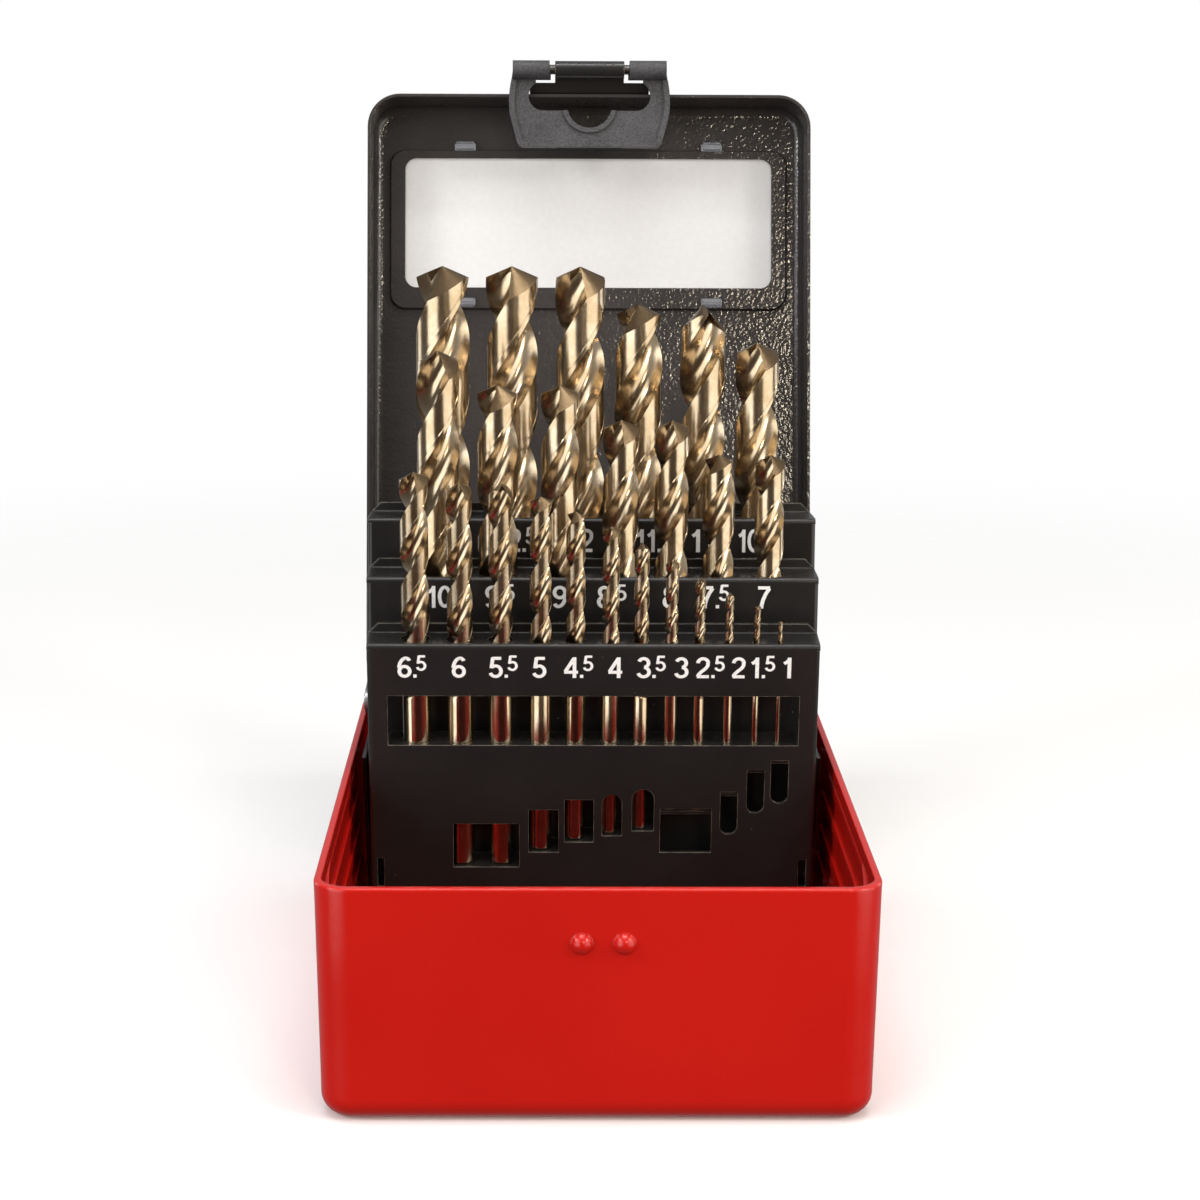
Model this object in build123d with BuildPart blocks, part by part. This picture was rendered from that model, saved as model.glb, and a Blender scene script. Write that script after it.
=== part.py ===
from build123d import *
from math import sin, cos, tan, radians, sqrt, atan2, ceil, degrees
import os

# Drill bit case: pressed tub, hinged lid, three fanning racks, 25 twist drills.
# Millimetres, +Z up, shown with the lid open and the racks fanned out.
# Case coordinates: x across, y from the near wall's rim towards the hinge, z up.
# Y_SHIFT moves them so that the origin is the bottom centre of the whole case.

os.makedirs("parts", exist_ok=True)

# ---------------------------------------------------------------- dimensions
Y_SHIFT = -103.8711
WIDTH = 116.0            # tub and lid, across
LENGTH = 156.4           # tub and lid, near rim to far rim
TUB_H = 51.0             # rim height
SHEET = 0.8              # tub, lid and rack sheet
TUB_DRAFT = 1.0
TUB_R = 7.5              # vertical corner radius
TUB_BOTTOM_R = 5.0
HEM_H = 3.0
HEM_T = 1.6

LID_Z = 51.2             # lid rim when closed
LID_H = 15.0
LID_DRAFT = 1.5
LID_R = 8.5
LID_TOP_R = 3.0
HINGE_Y, HINGE_Z = 158.4, 49.0
OPEN_ANGLE = 102.6
KNUCKLE_R = 1.9
HINGE_PIN_D = 2.0
HINGE_BORE_D = 2.1
KNUCKLE_STEP = 12.0

PIVOT_Y, PIVOT_Z = 122.2, 45.0     # common axis of the three racks
PIVOT_PIN_D = 3.0
RACK_BORE_D = 3.12
BRACKET_IN, BRACKET_OUT = 54.0, 54.9

LINK_IN, LINK_OUT = 55.1, 55.9
LINK_W = 6.0
LINK_A = (147.3, 54.3)             # on the lid, closed position
LINK_B = (17.27, 43.98)            # on the rear rack, rack coordinates
LINK_A_PIN_D, LINK_A_BORE_D = 2.6, 2.72
LINK_B_PIN_D, LINK_B_BORE_D = 2.2, 3.3

LATCH_Y, LATCH_Z = -5.6, 47.2      # latch axis, closed position
LATCH_PIN_D, LATCH_BORE_D = 2.5, 2.6
FLAP_T0, FLAP_T1 = 1.6, 3.15        # plate, measured from the axis towards the tub


# -------------------------------------------------------------------- frames
def at(x, y, z):
    return (x, y + Y_SHIFT, z)


def tub_xy(z):
    return Plane(origin=at(0, 0, z), x_dir=(1, 0, 0), z_dir=(0, 0, 1))


def tub_side(x):
    return Plane(origin=at(x, 0, 0), x_dir=(0, 1, 0), z_dir=(1, 0, 0))


def swing(y, z):
    a = radians(OPEN_ANGLE)
    return (y * cos(a) + z * sin(a), -y * sin(a) + z * cos(a))


def lid_yz(y, z):
    v = swing(y - HINGE_Y, z - HINGE_Z)
    return (HINGE_Y + v[0], HINGE_Z + v[1])


def lid_pt(x, y, z):
    p = lid_yz(y, z)
    return at(x, p[0], p[1])


def lid_dir(y, z):
    v = swing(y, z)
    return (0, v[0], v[1])


def lid_xy(z, y=0.0):
    return Plane(origin=lid_pt(0, y, z), x_dir=(1, 0, 0), z_dir=lid_dir(0, 1))


def lid_side(x, y=0.0, z=0.0):
    return Plane(origin=lid_pt(x, y, z), x_dir=lid_dir(1, 0), z_dir=(1, 0, 0))


class RackFrame:
    """Rack coordinates: x across, s up the front panel, n back from its face."""

    def __init__(self, y0, z0, lean, height, depth, half):
        self.y0, self.z0 = y0, z0
        self.a = radians(lean)
        self.h, self.d, self.w = height, depth, half

    def yz(self, n, s):
        c, k = cos(self.a), sin(self.a)
        return (self.y0 + n * c - s * k, self.z0 + n * k + s * c)

    def pt(self, x, n, s):
        p = self.yz(n, s)
        return at(x, p[0], p[1])

    def ns(self, y, z):
        c, k = cos(self.a), sin(self.a)
        dy, dz = y - self.y0, z - self.z0
        return (dy * c + dz * k, -dy * k + dz * c)

    def panel(self, n):
        c, k = cos(self.a), sin(self.a)
        return Plane(origin=self.pt(0, n, 0), x_dir=(1, 0, 0), z_dir=(0, -c, -k))

    def flange(self, x):
        c, k = cos(self.a), sin(self.a)
        return Plane(origin=self.pt(x, 0, 0), x_dir=(0, c, k), z_dir=(1, 0, 0))

    def deck(self, s):
        c, k = cos(self.a), sin(self.a)
        return Plane(origin=self.pt(0, 0, s), x_dir=(1, 0, 0), z_dir=(0, -k, c))

    def deck_at(self, x, n, s):
        c, k = cos(self.a), sin(self.a)
        return Plane(origin=self.pt(x, n, s), x_dir=(1, 0, 0), z_dir=(0, -k, c))


FRONT = RackFrame(87.07, 20.64, 6.24, 62.0, 9.3, 52.0)
MID = RackFrame(96.92, 13.26, 0.42, 81.3, 12.3, 52.9)
REAR = RackFrame(109.16, 13.42, -3.94, 91.9, 15.3, 53.8)


def box2(x0, x1, y0, y1, mode=Mode.ADD):
    with Locations(((x0 + x1) / 2, (y0 + y1) / 2)):
        Rectangle(abs(x1 - x0), abs(y1 - y0), mode=mode)


def save(builder, label):
    builder.part.label = label
    export_step(builder.part, "parts/" + label + ".step")


# ----------------------------------------------------------------- tub shell
inset_b = TUB_H * tan(radians(TUB_DRAFT))


def tub_core(inset, z0, z1, bottom_r):
    i = inset + (TUB_H - z0) * tan(radians(TUB_DRAFT))
    with BuildPart() as core:
        with BuildSketch(tub_xy(z0)):
            with Locations((0, LENGTH / 2)):
                RectangleRounded(WIDTH - 2 * i, LENGTH - 2 * i, TUB_R - i)
        extrude(amount=z1 - z0, taper=-TUB_DRAFT)
        if bottom_r:
            fillet(core.faces().sort_by(Axis.Z)[0].edges(), bottom_r)
    return core.part


inner_low = tub_core(SHEET, SHEET, TUB_H - HEM_H, TUB_BOTTOM_R - SHEET)
inner_hem = tub_core(HEM_T, TUB_H - HEM_H - 4.0, TUB_H + 1.0, 0)

# ribs on the side walls: (y, z) corner points, bend radius
RIBS = (
    (((101, 45.0), (40, 45.0), (25, 45.0), (25.0, 34.0)), 7.0),
    (((112, 37.0), (50, 37.0), (36.0, 37.0), (36.0, 28.0)), 7.0),
    (((114, 28.0), (70, 28.0), (55.0, 28.0), (55.0, 20.0)), 7.0),
    (((118, 19.5), (92, 19.5), (80.0, 19.5), (80.0, 12.0)), 6.0),
)

with BuildPart() as tub_shell:
    with BuildSketch(tub_xy(0)):
        with Locations((0, LENGTH / 2)):
            RectangleRounded(WIDTH - 2 * inset_b, LENGTH - 2 * inset_b, TUB_R - inset_b)
    extrude(amount=TUB_H, taper=-TUB_DRAFT)
    fillet(tub_shell.faces().sort_by(Axis.Z)[0].edges(), TUB_BOTTOM_R)
    fillet(tub_shell.faces().sort_by(Axis.Z)[-1].edges(), 0.6)
    add(inner_low, mode=Mode.SUBTRACT)
    add(inner_hem, mode=Mode.SUBTRACT)
    # embossed ribs, proud inside and hollow outside
    for sx in (-1, 1):
        c, k = cos(radians(TUB_DRAFT)), sin(radians(TUB_DRAFT))
        x_in = WIDTH / 2 - inset_b - SHEET / c
        wall = Plane(origin=at(sx * x_in, 0, 0), x_dir=(0, sx * -1, 0), z_dir=(-sx * c, 0, k))
        for pts, r in RIBS:
            line = [(-sx * y, z) for y, z in pts]
            with BuildSketch(wall.offset(-0.45)):
                with BuildLine():
                    FilletPolyline(*[line[0], line[2], line[3]], radius=r)
                trace(line_width=3.0)
            extrude(amount=0.95, taper=20)
            with BuildSketch(wall.offset(-SHEET - 0.05)):
                with BuildLine():
                    FilletPolyline(*[line[0], line[2], line[3]], radius=r)
                trace(line_width=2.4)
            extrude(amount=0.5, taper=20, mode=Mode.SUBTRACT)
    # two hollow domed catches on the near wall
    for x in (-3.35, 5.35):
        y_wall = (TUB_H - 39.3) * tan(radians(TUB_DRAFT))
        with Locations(Location(at(x, y_wall + 0.71, 39.3))):
            Sphere(2.41)
            Sphere(1.65, mode=Mode.SUBTRACT)
        with BuildSketch(Plane(origin=at(x, y_wall + 0.95, 39.3), x_dir=(1, 0, 0), z_dir=(0, -1, 0))):
            Circle(2.8)
        extrude(amount=-3.0, mode=Mode.SUBTRACT)
save(tub_shell, "tub_shell")


# -------------------------------------------------------------- hinge leaves
def knuckle_spans(first):
    e = 2.5 * KNUCKLE_STEP
    for i in range(first, 5, 2):
        x0, x1 = -e + i * KNUCKLE_STEP, -e + (i + 1) * KNUCKLE_STEP
        yield (x0 + (0.1 if i else 0.0), x1 - (0.1 if i < 4 else 0.0))


with BuildPart() as tub_hinge_leaf:
    k = radians(TUB_DRAFT)
    base_y = LENGTH - TUB_H * tan(k)
    leaf = Plane(origin=at(0, base_y + 0.01, 0), x_dir=(-1, 0, 0), z_dir=(0, cos(k), -sin(k)))
    with BuildSketch(leaf):
        box2(-30, 30, 36.5, 46.9)
        with Locations((-24, 41), (-8, 41), (8, 41), (24, 41)):
            Circle(0.9, mode=Mode.SUBTRACT)
    extrude(amount=SHEET)
    for x0, x1 in knuckle_spans(0):
        with BuildSketch(leaf):
            box2(-x0, -x1, 46.5, 48.95)
        extrude(amount=SHEET)
        with BuildSketch(tub_side(x0)):
            with Locations((HINGE_Y, HINGE_Z)):
                Circle(KNUCKLE_R)
        extrude(amount=x1 - x0)
    with BuildSketch(tub_side(-31)):
        with Locations((HINGE_Y, HINGE_Z)):
            Circle(HINGE_BORE_D / 2)
    extrude(amount=62, mode=Mode.SUBTRACT)
save(tub_hinge_leaf, "tub_hinge_leaf")

with BuildPart() as lid_hinge_leaf:
    k = radians(LID_DRAFT)
    base = (LENGTH + 0.01, LID_Z)
    leaf = Plane(origin=lid_pt(0, *base), x_dir=(-1, 0, 0), z_dir=lid_dir(cos(k), sin(k)))
    with BuildSketch(leaf):
        box2(-30, 30, -0.15, 9.8)
        with Locations((-24, 6), (-8, 6), (8, 6), (24, 6)):
            Circle(0.9, mode=Mode.SUBTRACT)
    extrude(amount=SHEET)
    for x0, x1 in knuckle_spans(1):
        with BuildSketch(leaf):
            box2(-x0, -x1, -2.2, 0.3)
        extrude(amount=SHEET)
        with BuildSketch(lid_side(x0)):
            with Locations((HINGE_Y, HINGE_Z)):
                Circle(KNUCKLE_R)
        extrude(amount=x1 - x0)
    with BuildSketch(lid_side(-31)):
        with Locations((HINGE_Y, HINGE_Z)):
            Circle(HINGE_BORE_D / 2)
    extrude(amount=62, mode=Mode.SUBTRACT)
save(lid_hinge_leaf, "lid_hinge_leaf")

with BuildPart() as hinge_pin:
    with BuildSketch(tub_side(-30.6)):
        with Locations((HINGE_Y, HINGE_Z)):
            Circle(HINGE_PIN_D / 2)
    extrude(amount=61.2)
    chamfer(hinge_pin.faces().filter_by(Axis.X).edges(), 0.25)
save(hinge_pin, "hinge_pin")


# ------------------------------------------------------------- side brackets
def bracket(sx, label):
    t = BRACKET_OUT - BRACKET_IN
    with BuildPart() as side_bracket:
        with BuildSketch(Plane(origin=at(0, 152.0, 0), x_dir=(1, 0, 0), z_dir=(0, -1, 0))):
            with BuildLine():
                FilletPolyline(
                    (sx * 44.5, 0.85 + t / 2), (sx * 50.7, 0.85 + t / 2),
                    (sx * (BRACKET_OUT - t / 2), 5.0), (sx * (BRACKET_OUT - t / 2), 49.5), radius=1.2)
            trace(line_width=t)
        extrude(amount=60)
        with BuildSketch(tub_side(sx * 40)):
            Polygon((101.5, 60), (101.5, 49.6), (103.0, 46.0), (113.5, 17.5), (116.5, 8.0), (116.5, -2),
                    (149.5, -2), (149.5, 14), (141.0, 46.0), (139.0, 60), align=None)
        extrude(amount=sx * 20, mode=Mode.INTERSECT)
        with BuildSketch(tub_side(sx * 53)):
            with Locations((PIVOT_Y, PIVOT_Z)):
                Circle(PIVOT_PIN_D / 2)
            with Locations((131, 20)):
                Circle(5.0)
        extrude(amount=sx * 3, mode=Mode.SUBTRACT)
    save(side_bracket, label)


bracket(-1, "side_bracket_left")
bracket(1, "side_bracket_right")

with BuildPart() as rack_pivot_pins:
    for sx in (-1, 1):
        with BuildSketch(tub_side(sx * 50.3)):
            with Locations((PIVOT_Y, PIVOT_Z)):
                Circle(2.5)
        extrude(amount=sx * 0.8)
        with BuildSketch(tub_side(sx * 51.0)):
            with Locations((PIVOT_Y, PIVOT_Z)):
                Circle(PIVOT_PIN_D / 2)
        extrude(amount=sx * 3.98)
save(rack_pivot_pins, "rack_pivot_pins")


# ------------------------------------------------------------------------ lid
FIELD = (-52.2, 52.2, 13.0, 54.2)
APERTURE = (-48.8, 48.8, 14.6, 49.1)
SLOTS = ((-32.9, 11.4), (32.9, 11.4), (-32.9, 52.9), (32.9, 52.9))


def lid_block(inset, z0, z1, top_r):
    with BuildPart() as block:
        with BuildSketch(lid_xy(z0)):
            with Locations((0, LENGTH / 2)):
                RectangleRounded(WIDTH - 2 * inset, LENGTH - 2 * inset, LID_R - inset)
        extrude(amount=z1 - z0, taper=LID_DRAFT)
        top = block.faces().sort_by(Axis(lid_pt(0, 0, 0), lid_dir(0, 1)))[-1]
        fillet(top.edges(), top_r)
    return block.part


lid_inner = lid_block(SHEET, LID_Z, LID_Z + LID_H - SHEET, LID_TOP_R - SHEET)
lid_outer = lid_block(0.0, LID_Z, LID_Z + LID_H, LID_TOP_R)
LID_IN = LID_Z + LID_H - SHEET

with BuildPart() as lid_shell:
    add(lid_outer)
    add(lid_inner, mode=Mode.SUBTRACT)
    # field for the window, pressed inwards
    with BuildSketch(lid_xy(LID_IN + 0.3)):
        with Locations(((FIELD[0] + FIELD[1]) / 2, (FIELD[2] + FIELD[3]) / 2)):
            RectangleRounded(FIELD[1] - FIELD[0] + 1.8, FIELD[3] - FIELD[2] + 1.8, 4.4)
    extrude(amount=-1.5, taper=20)
    with BuildSketch(lid_xy(LID_Z + LID_H)):
        with Locations(((FIELD[0] + FIELD[1]) / 2, (FIELD[2] + FIELD[3]) / 2)):
            RectangleRounded(FIELD[1] - FIELD[0], FIELD[3] - FIELD[2], 3.6)
    extrude(amount=-1.2, taper=10, mode=Mode.SUBTRACT)
    with BuildSketch(lid_xy(LID_Z + 8)):
        with Locations(((APERTURE[0] + APERTURE[1]) / 2, (APERTURE[2] + APERTURE[3]) / 2)):
            RectangleRounded(APERTURE[1] - APERTURE[0], APERTURE[3] - APERTURE[2], 3.0)
        with Locations(*SLOTS):
            RectangleRounded(5.6, 2.2, 0.6)
    extrude(amount=10, mode=Mode.SUBTRACT)
save(lid_shell, "lid_shell")

LID_TOP = LID_Z + LID_H
with BuildPart() as label_card:
    with BuildSketch(lid_xy(LID_TOP - 1.18)):
        with Locations((0, 31.95)):
            RectangleRounded(102.4, 36.8, 1.5)
    extrude(amount=0.4)
save(label_card, "label_card")

with BuildPart() as window_cover:
    with BuildSketch(lid_xy(LID_TOP + 0.02)):
        with Locations((0, 32.8)):
            RectangleRounded(106.4, 48.6, 5.0)
    extrude(amount=1.5)
    top = window_cover.faces().sort_by(Axis(lid_pt(0, 0, 0), lid_dir(0, 1)))[-1]
    chamfer(top.edges(), 0.6)
    for x, y in SLOTS:
        low = LID_IN if y < 20 else LID_IN - 1.2
        toward = -1 if y < 20 else 1
        with BuildSketch(lid_side(x - 2.35)):
            y0 = y - toward * 0.75
            Polygon((y0, LID_TOP + 0.1), (y0, low - 1.9), (y0 + toward * 0.8, low - 1.9),
                    (y0 + toward * 2.3, low - 0.55), (y0 + toward * 2.3, low - 0.1),
                    (y0 + toward * 1.0, low - 0.1), (y0 + toward * 1.0, LID_TOP + 0.1), align=None)
        extrude(amount=4.7)
save(window_cover, "window_cover")

with BuildPart() as lid_link_pins:
    for sx in (-1, 1):
        for x0, x1, r in ((54.3, 55.02, 2.1), (55.0, 56.02, LINK_A_PIN_D / 2), (56.0, 56.9, 2.1)):
            with BuildSketch(lid_side(sx * x0)):
                with Locations(LINK_A):
                    Circle(r)
            extrude(amount=sx * (x1 - x0))
save(lid_link_pins, "lid_link_pins")

# ---------------------------------------------------------------------- latch
with BuildPart() as latch_tongue:
    r_mid = (LATCH_BORE_D + 0.95) / 2
    k = radians(LID_DRAFT)
    dx, dz = -0.5 - LATCH_Y, 52.6 - LATCH_Z
    d = sqrt(dx * dx + dz * dz)
    ang = atan2(dz, dx) + atan2(sqrt(d * d - r_mid * r_mid), r_mid)
    tangent = (LATCH_Y + r_mid * cos(ang), LATCH_Z + r_mid * sin(ang))
    with BuildSketch(lid_side(-9.0)):
        with BuildLine():
            FilletPolyline((-0.5 + 7.4 * tan(k), 60.0), (-0.5, 52.6), tangent, radius=1.2)
        trace(line_width=0.9)
        with Locations((LATCH_Y, LATCH_Z)):
            Circle(LATCH_BORE_D / 2 + 0.92)
            Circle(LATCH_BORE_D / 2, mode=Mode.SUBTRACT)
    extrude(amount=18.0)
    # the foot is wider than the rolled eye
    with BuildSketch(lid_side(-15.6)):
        with BuildLine():
            FilletPolyline((-0.5 + 7.4 * tan(k), 60.0), (-0.5, 52.6), tangent, radius=1.2)
        trace(line_width=0.9)
        box2(-12.0, -2.85, 44.0, 54.0, mode=Mode.SUBTRACT)
    extrude(amount=31.2)
save(latch_tongue, "latch_tongue")

with BuildPart() as latch_pin:
    with BuildSketch(lid_side(-19.4)):
        with Locations((LATCH_Y, LATCH_Z)):
            Circle(LATCH_PIN_D / 2)
    extrude(amount=38.8)
    chamfer(latch_pin.faces().filter_by(Axis.X).edges(), 0.3)
save(latch_pin, "latch_pin")


def flap_xy(t):
    return lid_xy(LATCH_Z + t, LATCH_Y)


with BuildPart() as latch_flap:
    with BuildSketch(flap_xy(FLAP_T0 + 0.7)):
        with BuildLine():
            Line((-20.0, -0.6), (20.0, -0.6))
            Line((20.0, -0.6), (20.4, 2.2))
            ThreePointArc((20.4, 2.2), (21.0, 7.2), (20.7, 11.8))
            Line((20.7, 11.8), (19.0, 18.2))
            ThreePointArc((19.0, 18.2), (18.3, 19.4), (17.0, 19.9))
            Line((17.0, 19.9), (-17.0, 19.9))
            ThreePointArc((-17.0, 19.9), (-18.3, 19.4), (-19.0, 18.2))
            Line((-19.0, 18.2), (-20.7, 11.8))
            ThreePointArc((-20.7, 11.8), (-21.0, 7.2), (-20.4, 2.2))
            Line((-20.4, 2.2), (-20.0, -0.6))
        make_face()
    extrude(amount=FLAP_T1 - FLAP_T0 - 0.7)
    # raised rim
    with BuildSketch(flap_xy(FLAP_T0)):
        with BuildLine():
            Line((-20.4, 2.2), (20.4, 2.2))
            ThreePointArc((20.4, 2.2), (21.0, 7.2), (20.7, 11.8))
            Line((20.7, 11.8), (19.0, 18.2))
            ThreePointArc((19.0, 18.2), (18.3, 19.4), (17.0, 19.9))
            Line((17.0, 19.9), (-17.0, 19.9))
            ThreePointArc((-17.0, 19.9), (-18.3, 19.4), (-19.0, 18.2))
            Line((-19.0, 18.2), (-20.7, 11.8))
            ThreePointArc((-20.7, 11.8), (-21.0, 7.2), (-20.4, 2.2))
        make_face()
        with BuildLine():
            Polyline((-19.0, 2.1), (19.0, 2.1), (19.6, 7.2), (19.3, 11.5), (17.6, 17.9), (16.6, 18.6),
                     (-16.6, 18.6), (-17.6, 17.9), (-19.3, 11.5), (-19.6, 7.2), close=True)
        make_face(mode=Mode.SUBTRACT)
    extrude(amount=1.0)
    # arc rib below the thumb opening
    with BuildSketch(flap_xy(FLAP_T0)):
        with Locations((0, 9.0)):
            Circle(7.1)
        box2(-8, 8, 0, 10.2, mode=Mode.SUBTRACT)
    extrude(amount=1.0)
    # barrels
    for x0, x1 in ((-20.0, -10.4), (10.4, 20.0)):
        with BuildSketch(lid_side(x0)):
            with Locations((LATCH_Y, LATCH_Z)):
                Circle(2.35)
            box2(LATCH_Y - 0.6, LATCH_Y + 2.0, LATCH_Z, LATCH_Z + 3.0)
        extrude(amount=x1 - x0)
    # openings
    with BuildSketch(flap_xy(-6)):
        box2(-10.1, 10.1, -4, 8)
        with Locations((0, 6.35)):
            SlotOverall(31.8, 7.8)
        with Locations((0, 9.0)):
            Circle(5.8)
    extrude(amount=12, mode=Mode.SUBTRACT)
    # the edge beside the tongue's foot slopes back
    with BuildSketch(lid_side(-14.0)):
        Polygon((LATCH_Y + 1.95, LATCH_Z + 4.2), (LATCH_Y + 2.45, LATCH_Z + 1.5), (LATCH_Y + 4.0, LATCH_Z + 1.5),
                (LATCH_Y + 4.0, LATCH_Z + 4.2), align=None)
    extrude(amount=28.0, mode=Mode.SUBTRACT)
    # relief that lets the catches pass
    with BuildSketch(flap_xy(2.55)):
        box2(-8.6, 8.6, 7, 21)
    extrude(amount=3, mode=Mode.SUBTRACT)
    with BuildSketch(lid_side(-30)):
        with Locations((LATCH_Y, LATCH_Z)):
            Circle(LATCH_BORE_D / 2)
    extrude(amount=60, mode=Mode.SUBTRACT)
save(latch_flap, "latch_flap")


# ---------------------------------------------------------------- drive links
def drive_link(sx, label):
    a = lid_yz(*LINK_A)
    b = REAR.yz(*LINK_B)
    ln = sqrt((b[0] - a[0]) ** 2 + (b[1] - a[1]) ** 2)
    ey, ez = (b[0] - a[0]) / ln, (b[1] - a[1]) / ln
    h = LINK_W / 2
    with BuildPart() as link:
        with BuildSketch(tub_side(sx * LINK_IN)):
            Polygon((a[0] - ez * h, a[1] + ey * h), (b[0] - ez * h, b[1] + ey * h),
                    (b[0] + ez * h, b[1] - ey * h), (a[0] + ez * h, a[1] - ey * h), align=None)
            with Locations(a, b):
                Circle(h)
            with Locations(a):
                Circle(LINK_A_BORE_D / 2, mode=Mode.SUBTRACT)
            with Locations(b):
                Circle(LINK_B_BORE_D / 2, mode=Mode.SUBTRACT)
        extrude(amount=sx * (LINK_OUT - LINK_IN))
    save(link, label)
    return a, b, ln


link_a, link_b, link_len = drive_link(-1, "drive_link_left")
drive_link(1, "drive_link_right")

with BuildPart() as rear_link_pins:
    for sx in (-1, 1):
        for x0, x1, r in ((52.2, 53.0, 2.0), (52.9, 53.9, 1.39), (53.8, 55.05, 1.5),
                          (55.0, 55.98, LINK_B_PIN_D / 2), (55.95, 56.2, 1.95)):
            with BuildSketch(REAR.flange(sx * x0)):
                with Locations(LINK_B):
                    Circle(r)
            extrude(amount=sx * (x1 - x0))
save(rear_link_pins, "rear_link_pins")

# ---------------------------------------------------------------------- drills
# size: (length, flute length, x in the rack, s of the shank's end)
DRILL_FRONT = {
    6.5: (101, 63, -40.9, 0.8), 6.0: (93, 57, -30.7, 6.5), 5.5: (93, 57, -21.3, 6.5),
    5.0: (86, 52, -12.1, 10.3), 4.5: (80, 47, -4.1, 12.9), 4.0: (75, 43, 4.0, 14.5),
    3.5: (70, 39, 11.0, 15.75), 3.0: (61, 33, 17.9, 20.5), 2.5: (57, 30, 24.4, 20.5),
    2.0: (49, 24, 31.1, 25.1), 1.5: (40, 18, 37.5, 31.0), 1.0: (34, 12, 42.8, 33.3),
}
DRILL_MID = {
    10.0: (133, 87, -36.15, 0.8), 9.5: (125, 81, -22.3, 0.8), 9.0: (125, 81, -7.7, 0.8),
    8.5: (117, 75, 6.5, 0.8), 8.0: (117, 75, 18.4, 0.8), 7.5: (109, 69, 29.45, 0.8),
    7.0: (109, 69, 41.35, 0.8),
}
DRILL_REAR = {
    13.0: (151, 101, -35.9, 0.8), 12.5: (151, 101, -19.3, 0.8), 12.0: (151, 101, -2.9, 0.8),
    11.5: (142, 94, 11.2, 0.8), 11.0: (142, 94, 26.6, 0.8), 10.5: (133, 87, 39.7, 0.8),
}
BIT_GAP = 1.0            # face of the panel to the side of each drill
HOLE_GAP = 0.16          # radial
POINT = 135.0


def drill(rack, d, length, flute, x, s0, label):
    r = d / 2
    tip = r / tan(radians(POINT / 2))
    z0 = s0 + 0.05
    body = length - tip
    with BuildPart() as bit:
        with BuildSketch(rack.deck_at(x, BIT_GAP + r, z0)):
            Circle(r)
        extrude(amount=body)
        with BuildSketch(rack.deck_at(x, BIT_GAP + r, z0 + body)):
            Circle(r)
        extrude(amount=tip - 0.02 * r, taper=POINT / 2)
        chamfer(bit.faces().sort_by(Axis(rack.pt(x, 0, 0), (0, -sin(rack.a), cos(rack.a))))[0].edges(), 0.08 * d)
    save(bit, label)


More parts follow.
